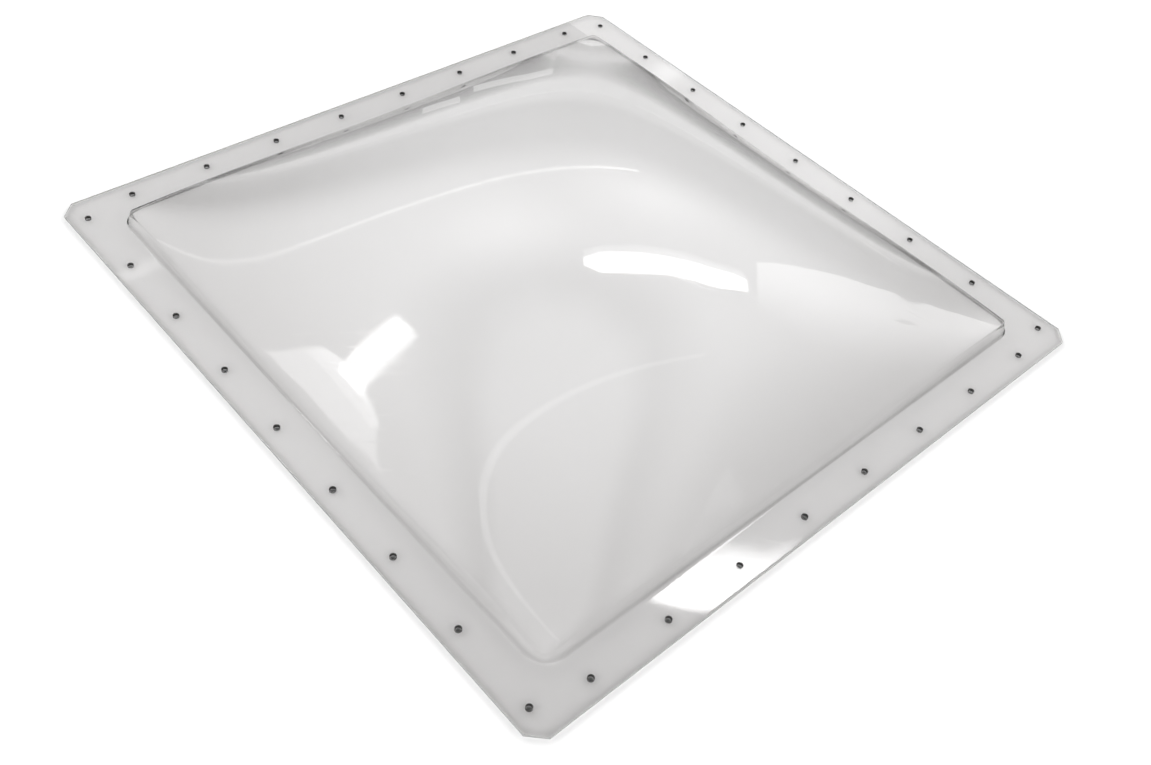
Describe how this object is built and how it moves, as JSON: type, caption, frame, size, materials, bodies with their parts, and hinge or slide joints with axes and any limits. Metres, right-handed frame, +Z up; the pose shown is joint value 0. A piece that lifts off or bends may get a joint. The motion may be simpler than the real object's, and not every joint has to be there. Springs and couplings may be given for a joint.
{
  "type": "roof skylight",
  "caption": "Clear square roof skylight, blown in one piece from plastic sheet: a flat flange with screw holes, a stepped bend and a low crowned dome.",
  "frame": {"origin": "middle of the flange's underside, which is the plane that it is screwed down on", "axes": "+Z up through the crown of the dome; +X across the two rows of nine holes; +Y across the two rows of eight holes"},
  "size_m": [0.6604, 0.6604, 0.1016],
  "materials": {
    "clear_sheet": "clear, polished"
  },
  "bodies": {
    "root": {"skylight_dome": "clear_sheet"}
  },
  "joints": []
}
